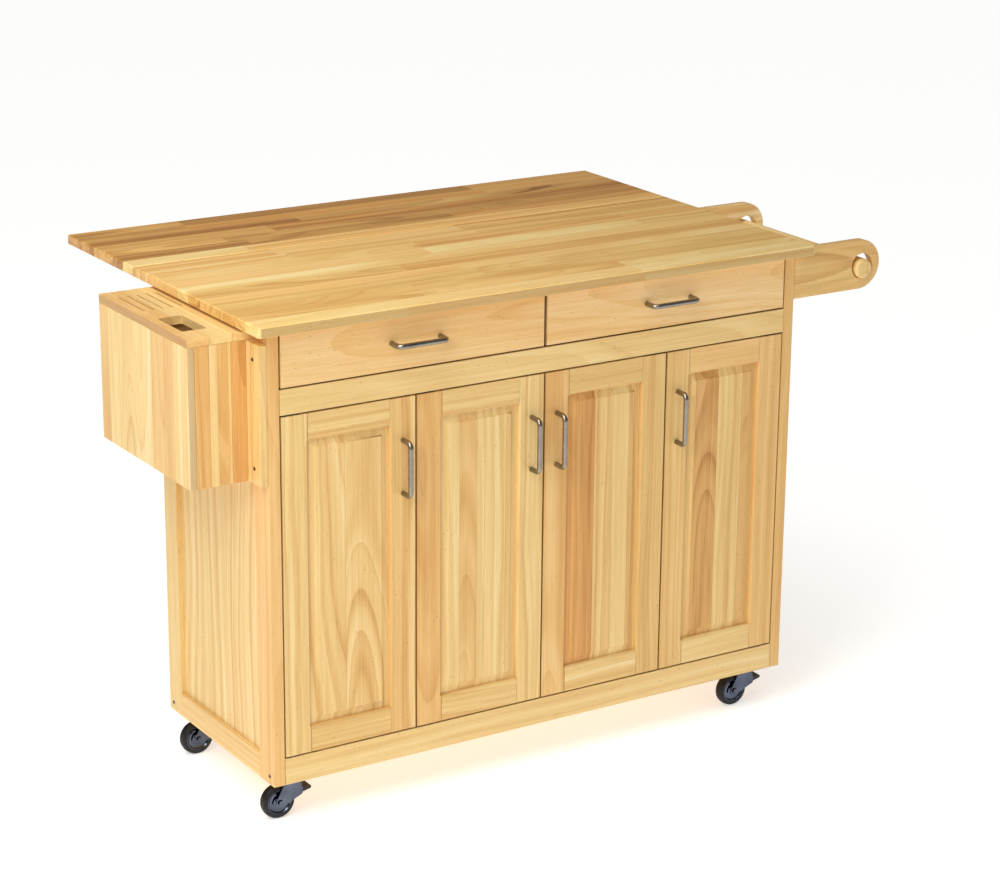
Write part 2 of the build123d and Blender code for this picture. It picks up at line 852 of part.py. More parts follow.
# ---------------------------------------------------------------- towel rack
arm_top = top_underside + arm_rise
arm_bottom = arm_top - arm_height
head_radius = arm_height / 2
bar_hole_radius = bar_radius + bar_hole_clearance
head_x = right + arm_reach - head_radius
head_z = arm_bottom + head_radius
bar_hole_x = right + bar_hole_out
bar_hole_z = head_z - bar_hole_drop
bar_z = bar_hole_z - bar_hole_clearance + bar_rest_clearance
front_arm_rear = front + arm_thickness
rear_arm_rear = back - arm_rear_setback


def towel_arm(rear_y):
    """One towel arm with its round head and bar hole, stepped to clear the main top."""
    notch_x = (right, top_right + arm_notch_reach)
    notch_z = (top_underside - arm_notch_clearance, arm_top)
    with BuildPart() as piece:
        with BuildSketch(Plane.XZ.offset(-rear_y)):
            with Locations(((right + head_x) / 2, head_z)):
                Rectangle(head_x - right, arm_height)
            with Locations((head_x, head_z)):
                Circle(head_radius)
            with Locations((sum(notch_x) / 2, sum(notch_z) / 2)):
                Rectangle(notch_x[1] - notch_x[0], notch_z[1] - notch_z[0], mode=Mode.SUBTRACT)
            with Locations((bar_hole_x, bar_hole_z)):
                Circle(bar_hole_radius, mode=Mode.SUBTRACT)
        extrude(amount=arm_thickness)
        chamfer(piece.faces().group_by(Axis.Y)[0].edges(), length=arm_edge)
        chamfer(piece.faces().group_by(Axis.Y)[-1].edges(), length=arm_edge)
    return piece.part


save("towel_arms", towel_arm(front_arm_rear), towel_arm(rear_arm_rear))

with BuildPart() as towel_bar:
    with BuildSketch(Plane.XZ.offset(-rear_arm_rear - bar_protrusion)):
        with Locations((bar_hole_x, bar_z)):
            Circle(bar_radius)
    extrude(amount=rear_arm_rear - front + 2 * bar_protrusion)
    fillet(towel_bar.edges().filter_by(GeomType.CIRCLE), radius=bar_end_radius)
save("towel_bar", towel_bar.part)


# ---------------------------------------------------------------- casters
leg_inside = wheel_width / 2 + leg_clearance
leg_outside = leg_inside + leg_thickness


def caster_plate(x, y):
    """A caster's screw plate with the fixed race and the kingpin under it."""
    with BuildPart() as piece:
        with BuildSketch(Plane.XY.offset(plate_underside)):
            with Locations((x, y)):
                RectangleRounded(caster_plate_size, caster_plate_size, caster_plate_corner)
        extrude(amount=caster_plate_thickness)
        with BuildSketch(Plane.XY.offset(race_bottom)):
            with Locations((x, y)):
                Circle(race_radius)
        extrude(amount=race_height)
        with BuildSketch(Plane.XY.offset(crown_bottom - kingpin_tail)):
            with Locations((x, y)):
                Circle(kingpin_radius)
        extrude(amount=kingpin_tail + crown_thickness + swivel_gap)
    return piece.part


def caster_fork(x, y):
    """A caster's crown and two legs, with the axle and its two heads as another solid."""
    wheel_x = x - caster_trail
    with BuildPart() as body:
        with BuildSketch(Plane.XY.offset(crown_bottom)):
            with Locations((x, y)):
                Circle(crown_radius)
        extrude(amount=crown_thickness)
        for side in (-1, 1):
            with BuildSketch(Plane.XZ.offset(-y - side * (leg_inside + leg_thickness / 2))):
                with Locations((wheel_x, wheel_radius)):
                    Circle(leg_end_radius)
                with Locations((x, crown_bottom + crown_thickness / 2)):
                    Rectangle(2 * leg_top_half_width, crown_thickness)
                with Locations((x + lever_pivot_ahead, crown_bottom - lever_pivot_drop)):
                    Circle(lever_lobe_radius)
                make_hull()
                with Locations((wheel_x, wheel_radius)):
                    Circle(axle_radius, mode=Mode.SUBTRACT)
                with Locations((x + lever_pivot_ahead, crown_bottom - lever_pivot_drop)):
                    Circle(lever_pin_radius, mode=Mode.SUBTRACT)
            extrude(amount=leg_thickness / 2, both=True)
        with BuildSketch(Plane.XY.offset(crown_bottom)):
            with Locations((x, y)):
                Circle(kingpin_radius + kingpin_clearance)
        extrude(amount=crown_thickness, mode=Mode.SUBTRACT)
    with BuildPart() as axle:
        with BuildSketch(Plane.XZ.offset(-y - leg_outside)):
            with Locations((wheel_x, wheel_radius)):
                Circle(axle_radius)
        extrude(amount=2 * leg_outside)
        for start in (leg_outside + axle_head_height, -leg_outside):
            with BuildSketch(Plane.XZ.offset(-y - start)):
                with Locations((wheel_x, wheel_radius)):
                    RegularPolygon(axle_head_radius, 6)
            extrude(amount=axle_head_height)
    with BuildPart() as lever_pin:
        with BuildSketch(Plane.XZ.offset(-y - leg_outside)):
            with Locations((x + lever_pivot_ahead, crown_bottom - lever_pivot_drop)):
                Circle(lever_pin_radius)
        extrude(amount=2 * leg_outside)
    return [body.part, axle.part, lever_pin.part]


def caster_wheel(x, y):
    """A caster's hub and its tyre."""
    wheel_x = x - caster_trail
    hub_radius = wheel_radius - tyre_thickness
    half = wheel_width / 2
    with BuildPart() as hub:
        with BuildSketch(Plane.XZ.offset(-y - half)):
            with Locations((wheel_x, wheel_radius)):
                Circle(hub_radius)
                Circle(axle_radius + axle_clearance, mode=Mode.SUBTRACT)
        extrude(amount=wheel_width)
        for start in (half, -half + hub_recess):
            with BuildSketch(Plane.XZ.offset(-y - start)):
                with Locations((wheel_x, wheel_radius)):
                    Circle(hub_radius - hub_rim)
                    Circle(hub_boss_radius, mode=Mode.SUBTRACT)
            extrude(amount=hub_recess, mode=Mode.SUBTRACT)
    with BuildPart() as tyre:
        with BuildSketch(Plane.XZ.offset(-y - half)):
            with Locations((wheel_x, wheel_radius)):
                Circle(wheel_radius)
                Circle(hub_radius, mode=Mode.SUBTRACT)
        extrude(amount=wheel_width)
        rims = tyre.edges().filter_by(GeomType.CIRCLE).filter_by(lambda edge: edge.radius > hub_radius + 1)
        fillet(rims, radius=tyre_edge)
    return [hub.part, tyre.part]


def brake_lever(x, y):
    """The pedal of a braked caster: a boss on the lever pin and a round-tipped tongue ahead of it."""
    pin_x = x + lever_pivot_ahead
    pin_z = crown_bottom - lever_pivot_drop
    half = leg_inside - lever_side_clearance
    tip_x = x - caster_trail + lever_tip_reach - lever_tip_radius
    with BuildPart() as piece:
        with BuildSketch(Plane.XZ.offset(-y - half)):
            with Locations((pin_x, pin_z)):
                Circle(lever_boss_radius)
            with Locations((tip_x, pin_z + lever_rise)):
                Circle(lever_tip_radius)
            make_hull()
            with Locations((pin_x, pin_z)):
                Circle(lever_pin_radius + lever_pin_clearance, mode=Mode.SUBTRACT)
        extrude(amount=2 * half)
    return piece.part


for corner, x, y in caster_places:
    save(f"fork_{corner}", *caster_fork(x, y))
    save(f"wheel_{corner}", *caster_wheel(x, y))
    if corner.startswith("front"):
        save(f"brake_lever_{corner}", brake_lever(x, y))
save("caster_plates", *[caster_plate(x, y) for _, x, y in caster_places])

# ---------------------------------------------------------------- screws
screws = []
plate_half = caster_plate_size / 2 - plate_screw_inset
for _, x, y in caster_places:
    for dx in (-plate_half, plate_half):
        for dy in (-plate_half, plate_half):
            screws.append(screw_head((x + dx, y + dy, plate_underside), (0, 0, -1)))
for face_x, out in ((left, -1), (right, 1)):
    for y in (front + frame_screw_inset, back - frame_screw_inset):
        screws.append(screw_head((face_x, y, caster_height + frame_screw_inset), (out, 0, 0)))
block_screw_y = front + block_front_setback / 2
for z in (block_bottom + block_screw_inset, lid_bottom - block_screw_inset):
    screws.append(screw_head((left - block_back_board, block_screw_y, z), (-1, 0, 0)))
save("screws", *screws)
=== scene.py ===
"""Looks of the rolling kitchen island: oiled rubberwood, satin nickel pulls and zinc casters.

Every wooden board of the CAD frame is taken over as a new mesh that knows its own grain:
which way the fibres run, where its glued staves meet and where the pith of the tree was.
One wood shader reads that, so each stave has its own figure and tone.
"""
import json
import math
import random

import bmesh
import bpy
from mathutils import Matrix, Vector


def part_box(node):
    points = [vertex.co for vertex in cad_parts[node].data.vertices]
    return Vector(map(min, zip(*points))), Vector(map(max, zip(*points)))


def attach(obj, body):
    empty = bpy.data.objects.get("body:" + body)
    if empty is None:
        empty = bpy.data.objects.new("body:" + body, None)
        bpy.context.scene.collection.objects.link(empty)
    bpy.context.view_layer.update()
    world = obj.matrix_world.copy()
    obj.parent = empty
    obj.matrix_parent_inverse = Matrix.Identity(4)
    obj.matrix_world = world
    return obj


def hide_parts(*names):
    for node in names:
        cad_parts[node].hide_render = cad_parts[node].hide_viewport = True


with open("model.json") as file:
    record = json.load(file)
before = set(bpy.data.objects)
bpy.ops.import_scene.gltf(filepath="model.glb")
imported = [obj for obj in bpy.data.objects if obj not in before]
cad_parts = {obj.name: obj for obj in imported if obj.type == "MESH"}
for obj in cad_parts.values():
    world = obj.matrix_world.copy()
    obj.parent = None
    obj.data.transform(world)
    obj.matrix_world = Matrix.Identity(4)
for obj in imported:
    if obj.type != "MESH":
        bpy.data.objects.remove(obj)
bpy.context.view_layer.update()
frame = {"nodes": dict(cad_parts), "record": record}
nodes = frame["nodes"]
body_of = {n: b for b, members in frame["record"]["behaviour"]["bodies"].items() for n in members}
X, Y, Z = 0, 1, 2
WELD = 1e-6  # points closer than this are one point
RIM = 0.0004  # a face this close to its node's box is on the outer rim


# ---------------------------------------------------------------- shader building
def srgb(red, green, blue):
    """A colour given in 0 to 255 as the screen shows it, as linear values for a shader."""
    def linear(c):
        c /= 255
        return c / 12.92 if c <= 0.04045 else ((c + 0.055) / 1.055) ** 2.4
    return (linear(red), linear(green), linear(blue), 1.0)


class Shader:
    """A Principled material and short ways to add the nodes that feed it."""

    def __init__(self, name, **constants):
        self.material = bpy.data.materials.new(name)
        self.material.use_nodes = True
        self.tree = self.material.node_tree
        self.bsdf = self.tree.nodes["Principled BSDF"]
        for socket, value in constants.items():
            self.bsdf.inputs[socket.replace("_", " ")].default_value = value

    def put(self, value, socket):
        if isinstance(value, bpy.types.NodeSocket):
            self.tree.links.new(value, socket)
        else:
            socket.default_value = value

    def feed(self, **sources):
        for socket, source in sources.items():
            self.put(source, self.bsdf.inputs[socket.replace("_", " ")])

    def math(self, operation, *values):
        node = self.tree.nodes.new("ShaderNodeMath")
        node.operation = operation
        for value, socket in zip(values, node.inputs):
            self.put(value, socket)
        return node.outputs[0]

    def add(self, *values):
        total = values[0]
        for value in values[1:]:
            total = self.math("ADD", total, value)
        return total

    def times(self, a, b):
        return self.math("MULTIPLY", a, b)

    def attribute(self, name, output="Vector"):
        node = self.tree.nodes.new("ShaderNodeAttribute")
        node.attribute_name = name
        return node.outputs[output]

    def split(self, vector):
        node = self.tree.nodes.new("ShaderNodeSeparateXYZ")
        self.put(vector, node.inputs[0])
        return node.outputs[0], node.outputs[1], node.outputs[2]

    def join(self, x, y, z):
        node = self.tree.nodes.new("ShaderNodeCombineXYZ")
        for value, socket in zip((x, y, z), node.inputs):
            self.put(value, socket)
        return node.outputs[0]

    def place(self):
        return self.tree.nodes.new("ShaderNodeTexCoord").outputs["Object"]

    def noise(self, vector, scale=1.0, detail=2.0, rough=0.5):
        node = self.tree.nodes.new("ShaderNodeTexNoise")
        self.put(vector, node.inputs["Vector"])
        node.inputs["Scale"].default_value = scale
        node.inputs["Detail"].default_value = detail
        node.inputs["Roughness"].default_value = rough
        return self.math("SUBTRACT", node.outputs["Fac"], 0.5)

    def noise_line(self, where, scale, detail=2.0):
        node = self.tree.nodes.new("ShaderNodeTexNoise")
        node.noise_dimensions = "1D"
        self.put(where, node.inputs["W"])
        node.inputs["Scale"].default_value = scale
        node.inputs["Detail"].default_value = detail
        return self.math("SUBTRACT", node.outputs["Fac"], 0.5)

    def cells(self, vector, output="Distance"):
        node = self.tree.nodes.new("ShaderNodeTexVoronoi")
        self.put(vector, node.inputs["Vector"])
        node.inputs["Scale"].default_value = 1.0
        return node.outputs[output]

    def between(self, value, low, high, to_low=0.0, to_high=1.0):
        node = self.tree.nodes.new("ShaderNodeMapRange")
        node.interpolation_type = "SMOOTHSTEP"
        for source, socket in zip((value, low, high, to_low, to_high), node.inputs):
            self.put(source, socket)
        return node.outputs[0]

    def ramp(self, value, stops):
        node = self.tree.nodes.new("ShaderNodeValToRGB")
        self.put(value, node.inputs[0])
        elements = node.color_ramp.elements
        while len(elements) < len(stops):
            elements.new(0.5)
        for element, (position, colour) in zip(elements, stops):
            element.position = position
            element.color = colour
        return node.outputs[0]

    def mix(self, factor, a, b, blend="MIX"):
        node = self.tree.nodes.new("ShaderNodeMix")
        node.data_type = "RGBA"
        node.blend_type = blend
        self.put(factor, node.inputs[0])
        self.put(a, node.inputs[6])
        self.put(b, node.inputs[7])
        return node.outputs[2]

    def bump(self, height, distance, strength=1.0):
        node = self.tree.nodes.new("ShaderNodeBump")
        node.inputs["Strength"].default_value = strength
        node.inputs["Distance"].default_value = distance
        self.put(height, node.inputs["Height"])
        self.put(node.outputs[0], self.bsdf.inputs["Normal"])

    def scaled(self, vector, factor):
        node = self.tree.nodes.new("ShaderNodeVectorMath")
        node.operation = "SCALE"
        self.put(vector, node.inputs[0])
        node.inputs["Scale"].default_value = factor
        return node.outputs[0]


def wood_shader(name, stops, gloss, coat):
    """Rubberwood in the grain space of its board: pith rings, fibres, pores and glue lines.

    u runs along the fibres, v across the stave and w through the board, all in metres.
    """
    s = Shader(name, Coat_Weight=coat, Coat_Roughness=0.22, Specular_IOR_Level=0.25)
    u, v, w = s.split(s.attribute("grain"))
    seed, tone, figure = s.split(s.attribute("look"))
    pith_v, pith_w, slope = s.split(s.attribute("pith"))
    warm = s.attribute("warm", "Fac")
    half_stave = s.attribute("stave", "Fac")
    gap_shade = s.attribute("gap_shade", "Fac")
    shift = s.times(seed, 37.0)

    def grained(along, across, offset=0.0):
        """A place in a pattern with so many features per metre, its own for each stave."""
        return s.join(
            s.add(s.times(u, along), shift, offset),
            s.add(s.times(v, across), s.times(shift, 0.31)),
            s.times(w, across),
        )

    # growth rings about a pith that wanders along the board
    sway = s.times(s.noise(grained(1.7, 8.0), detail=1.0), 0.05)
    wander = s.times(s.noise(grained(11.0, 60.0, 3.0)), 0.004)
    lean = s.times(s.noise(grained(1.9, 3.0, 9.0), detail=1.0), 0.06)
    ring_v = s.add(s.math("SUBTRACT", v, pith_v), sway, wander)
    ring_w = s.add(s.math("SUBTRACT", w, pith_w), s.times(u, slope), lean)
    radius = s.math("SQRT", s.add(s.times(ring_v, ring_v), s.times(ring_w, ring_w)))
    zones = s.noise_line(s.add(radius, shift), 60.0, 2.0)
    uneven = s.times(s.noise_line(s.add(radius, shift), 34.0, 1.0), 2.4)
    age = s.add(s.times(radius, 62.0), uneven)
    late = s.math("POWER", s.math("FRACT", age), 2.5)
    figure_depth = s.times(figure, s.add(zones, s.times(late, 0.26), -0.07))

    # fibres and slow changes of tone on top of the rings
    fibre = s.noise(grained(5.0, 300.0, 5.0), detail=3.0, rough=0.6)
    silk = s.noise(grained(26.0, 1100.0, 7.0), detail=1.0)
    streak = s.noise(grained(2.2, 110.0, 17.0), detail=2.0)
    cloud = s.noise(grained(3.5, 16.0, 11.0), detail=2.0)
    depth = s.add(
        tone,
        figure_depth,
        s.times(fibre, 0.32),
        s.times(streak, 0.26),
        s.times(silk, 0.14),
        s.times(cloud, 0.16),
    )
    colour = s.ramp(depth, stops)
    colour = s.mix(warm, colour, srgb(250, 190, 128), "MULTIPLY")

    # pores, dark flecks, glue lines and the painted shade of gaps and joint grooves
    pore = s.between(s.cells(grained(75.0, 1250.0, 13.0)), 0.10, 0.32, 1.0, 0.0)
    pore = s.times(pore, s.between(s.noise(grained(40.0, 500.0, 15.0)), 0.02, 0.12))
    colour = s.mix(s.times(pore, 0.42), colour, srgb(150, 98, 52))
    fleck = s.between(s.cells(grained(55.0, 150.0, 19.0)), 0.07, 0.15, 1.0, 0.0)
    fleck = s.times(fleck, s.between(s.noise(grained(14.0, 40.0, 21.0)), 0.06, 0.14))
    colour = s.mix(s.times(fleck, 0.55), colour, srgb(126, 78, 40))
    from_edge = s.math("SUBTRACT", half_stave, s.math("ABSOLUTE", v))
    seam = s.between(from_edge, 0.0001, 0.0005, 1.0, 0.0)
    colour = s.mix(s.times(seam, 0.45), colour, srgb(138, 88, 44))
    # painted shade: outer rims and end faces are darkened in place of the shade in gaps and joint
    # grooves
    colour = s.mix(gap_shade, colour, srgb(92, 46, 14))
    s.feed(Base_Color=colour)
    s.feed(Roughness=s.add(gloss, s.times(fibre, 0.12), s.times(pore, 0.15)))
    grown = s.add(s.times(fibre, 0.35), s.times(silk, 0.25))
    s.bump(s.add(grown, s.times(pore, -0.8), s.times(seam, -0.6)), 0.00018)
    return s.material


# Colours of a stave from its lightest to its darkest tone
CABINET_STOPS = [
    (0.00, srgb(252, 232, 182)),
    (0.28, srgb(240, 207, 140)),
    (0.52, srgb(224, 180, 110)),
    (0.76, srgb(190, 138, 76)),
    (1.00, srgb(140, 92, 48)),
]
BLOCK_STOPS = [
    (0.00, srgb(252, 226, 160)),
    (0.28, srgb(240, 201, 124)),
    (0.52, srgb(216, 166, 92)),
    (0.76, srgb(166, 112, 54)),
    (1.00, srgb(108, 68, 32)),
]
rubberwood = wood_shader("rubberwood", CABINET_STOPS, 0.46, 0.12)
butcher_block = wood_shader("butcher_block", BLOCK_STOPS, 0.42, 0.05)


def metal_shader(name, dark, light, rough, grain_scale, spangle):
    """A plated or brushed metal: cloudy, finely scratched, and spangled where asked for."""
    s = Shader(name, Metallic=1.0)
    place = s.place()
    cloud = s.noise(place, 38.0, 3.0)
    scratch = s.noise(place, grain_scale, 2.0, 0.7)
    mixed = s.add(s.times(cloud, 0.9), s.times(scratch, 0.35), 0.5)
    colour = s.mix(mixed, dark, light)
    if spangle:
        grey, _, _ = s.split(s.cells(s.scaled(place, spangle), "Color"))
        colour = s.mix(s.times(grey, 0.28), colour, dark)
    s.feed(Base_Color=colour)
    s.feed(Roughness=s.add(rough, s.times(scratch, 0.16), s.times(cloud, 0.12)))
    s.bump(scratch, 0.00004, 0.6)
    return s.material


satin_nickel = metal_shader(
    "satin_nickel", srgb(120, 114, 106), srgb(172, 165, 154), 0.27, 900.0, 0)
zinc_plate = metal_shader(
    "zinc_plate", srgb(150, 154, 160), srgb(214, 218, 224), 0.24, 700.0, 210.0)
bright_zinc = metal_shader(
    "bright_zinc", srgb(46, 52, 66), srgb(112, 120, 138), 0.13, 600.0, 0)
dark_bronze = metal_shader(
    "dark_bronze", srgb(62, 48, 36), srgb(104, 84, 64), 0.38, 900.0, 0)
brass = metal_shader(
    "brass", srgb(176, 132, 62), srgb(226, 186, 104), 0.25, 800.0, 0)


def dull_shader(name, dark, light, rough, grain, depth):
    """Rubber or moulded plastic: near black or grey, with a fine grain and rubbed patches."""
    s = Shader(name, Specular_IOR_Level=0.4)
    place = s.place()
    grit = s.noise(place, grain, 3.0, 0.6)
    rub = s.noise(place, 45.0, 2.0)
    wear = s.between(s.add(rub, s.times(grit, 0.5)), -0.25, 0.4)
    s.feed(Base_Color=s.mix(wear, dark, light))
    s.feed(Roughness=s.add(rough, s.times(grit, 0.2), s.times(rub, 0.15)))
    s.bump(grit, depth, 0.7)
    return s.material


tyre_rubber = dull_shader(
    "caster_tyre", srgb(11, 11, 13), srgb(26, 26, 29), 0.5, 1400.0, 0.00012)
pedal_plastic = dull_shader(
    "brake_pedal", srgb(16, 16, 18), srgb(38, 38, 42), 0.36, 1100.0, 0.00008)
catch_plastic = dull_shader(
    "catch_plastic", srgb(168, 150, 124), srgb(206, 190, 164), 0.42, 900.0, 0.00006)


# ---------------------------------------------------------------- meshes from the frame
SHARP_ANGLE = math.radians(50)
FACE_WEIGHT = 80


def solids(node):
    """The closed solids of a CAD node, each as (points, faces)."""
    bm = bmesh.new()
    bm.from_mesh(nodes[node].data)
    bmesh.ops.remove_doubles(bm, verts=bm.verts, dist=WELD)
    bm.faces.index_update()
    bm.verts.index_update()
    left_over = set(bm.faces)
    found = []
    while left_over:
        seed = min(left_over, key=lambda f: f.index)
        left_over.discard(seed)
        group, front = [seed], [seed]
        while front:
            face = front.pop()
            for edge in face.edges:
                if len(edge.link_faces) != 2:
                    continue
                for other in edge.link_faces:
                    if other in left_over:
                        left_over.discard(other)
                        group.append(other)
                        front.append(other)
        group.sort(key=lambda f: f.index)
        used = sorted({v.index for f in group for v in f.verts})
        renumber = {old: new for new, old in enumerate(used)}
        bm.verts.ensure_lookup_table()
        points = [bm.verts[i].co.copy() for i in used]
        faces = [[renumber[v.index] for v in f.verts] for f in group]
        found.append((points, faces))
    bm.free()
    found.sort(key=lambda s: tuple(round(min(p[i] for p in s[0]), 4) for i in (X, Y, Z)))
    return found


def limits(points, axis):
    """The lowest and the highest place of the points on an axis."""
    values = [p[axis] for p in points]
    return min(values), max(values)


def link(name, mesh, material, body):
    """Puts a mesh into the scene as a smooth-shaded piece that moves with a body."""
    piece = bpy.data.objects.new(name, mesh)
    bpy.context.scene.collection.objects.link(piece)
    mesh.materials.append(material)
    mesh.shade_smooth()
    mesh.set_sharp_from_angle(angle=SHARP_ANGLE)
    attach(piece, body)
    return piece


def soften(piece):
    """Leans the normals of the narrow broken edges towards the broad faces beside them."""
    normals = piece.modifiers.new("normals", "WEIGHTED_NORMAL")
    normals.keep_sharp = True
    normals.weight = FACE_WEIGHT


# ---------------------------------------------------------------- wood
# How far a moulded edge has run in and risen, as shares of its width and its height
PANEL_PROFILE = (
    (0.10, 0.05), (0.40, 0.24), (0.66, 0.40), (0.82, 0.52), (0.88, 0.62), (0.99, 0.95), (1.03, 1.0),
)
UNCUT_STAVES = 1.7  # a board no wider than this many staves stays whole
END_GRAIN = 0.3  # a face leaning this far towards the fibres is an end face
WHOLE_BOARD = 1.0  # half width given to a board without glue lines


def stave_cuts(low, high, width, dice):
    """Places between two limits where glued staves of about one width meet."""
    count = max(1, round((high - low) / width))
    step = (high - low) / count
    return [low + step * (i + dice.uniform(-0.12, 0.12)) for i in range(1, count)]


def glue_lines(low, high, stave, known, dice):
    """Places across a board where its staves meet: by their known shares, or by one width."""
    if known:
        shares = [share for share, _ in known]
        whole = sum(shares)
        return [low + (high - low) * sum(shares[:i]) / whole for i in range(1, len(shares))]
    if high - low > UNCUT_STAVES * stave:
        return stave_cuts(low, high, stave, dice)
    return []


def end_joints(start, end, length, dice):
    """Places along a row where one stave of about a length ends and the next begins."""
    joints = []
    place = start + dice.uniform(0.35, 1.0) * length
    while place < end - 0.25 * length:
        joints.append(place)
        place += dice.uniform(0.7, 1.4) * length
    return joints


def raised_panel(points):
    """The solid of a door panel with its moulded profile: margin, cove, step and raised field."""
    (x_low, x_high), (z_low, z_high) = limits(points, X), limits(points, Z)
    field, back = limits(points, Y)
    edge = min(p.y for p in points if p.x < x_low + WELD)
    on_edge = [p.x for p in points if abs(p.y - edge) < WELD and p.x > x_low + WELD]
    margin = min(on_edge) - x_low
    inner = min(p.x for p in points if p.y < field + WELD) - x_low
    profile = [(0.0, back), (0.0, edge), (margin, edge)]
    for run, rise in PANEL_PROFILE:
        profile.append((margin + run * (inner - margin), edge + rise * (field - edge)))
    places, faces = [], [[0, 1, 2, 3]]
    for inset, y in profile:
        for x, z in ((x_low + inset, z_low + inset), (x_high - inset, z_low + inset),
                     (x_high - inset, z_high - inset), (x_low + inset, z_high - inset)):
            places.append(Vector((x, y, z)))
    for ring in range(len(profile) - 1):
        for side in range(4):
            a, b = 4 * ring + side, 4 * ring + (side + 1) % 4
            faces.append([b, a, a + 4, b + 4])
    last = 4 * (len(profile) - 1)
    faces.append([last + 3, last + 2, last + 1, last])
    return places, faces


def either_way(dice, low, high):
    """A random distance to one side or the other."""
    return dice.choice((-1, 1)) * dice.uniform(low, high)


def random_stave(dice, tone, spread, strength):
    """Tone, warmth, figure and pith place of one stave, flat sawn or quarter sawn."""
    flat_sawn = dice.random() < 0.45
    pith_v = dice.uniform(-0.02, 0.02) if flat_sawn else either_way(dice, 0.06, 0.14)
    pith_w = either_way(dice, 0.03, 0.07) if flat_sawn else dice.uniform(-0.03, 0.03)
    return {
        "tone": tone + dice.uniform(-spread, spread),
        "warm": max(0.0, dice.uniform(-0.15, 0.30)),
        "figure": strength * dice.uniform(0.6, 1.3),
        "pith": (pith_v, pith_w, either_way(dice, 0.02, 0.09)),
    }


def axis_vector(axis):
    return Vector([1.0 if a == axis else 0.0 for a in (X, Y, Z)])


def cut_board(points, faces, across, along, bounds, rows):
    """A board's mesh, cut along its glue lines and, row by row, at its end joints."""
    board = bmesh.new()
    for p in points:
        board.verts.new(p)
    board.verts.ensure_lookup_table()
    for f in faces:
        board.faces.new([board.verts[i] for i in f])
    across_normal, along_normal = axis_vector(across), axis_vector(along)
    for cut in bounds[1:-1]:
        geometry = board.verts[:] + board.edges[:] + board.faces[:]
        bmesh.ops.bisect_plane(
            board, geom=geometry, plane_co=across_normal * cut, plane_no=across_normal)
    for low, high, joints in zip(bounds, bounds[1:], rows):
        for joint in joints:
            picked = [f for f in board.faces
                      if low - WELD < f.calc_center_median()[across] < high + WELD]
            geometry = list({v for f in picked for v in f.verts})
            geometry += list({e for f in picked for e in f.edges}) + picked
            geometry.sort(key=lambda g: g.index)
            bmesh.ops.bisect_plane(
                board, geom=geometry, plane_co=along_normal * joint, plane_no=along_normal)
    board.normal_update()
    board.verts.index_update()
    return board


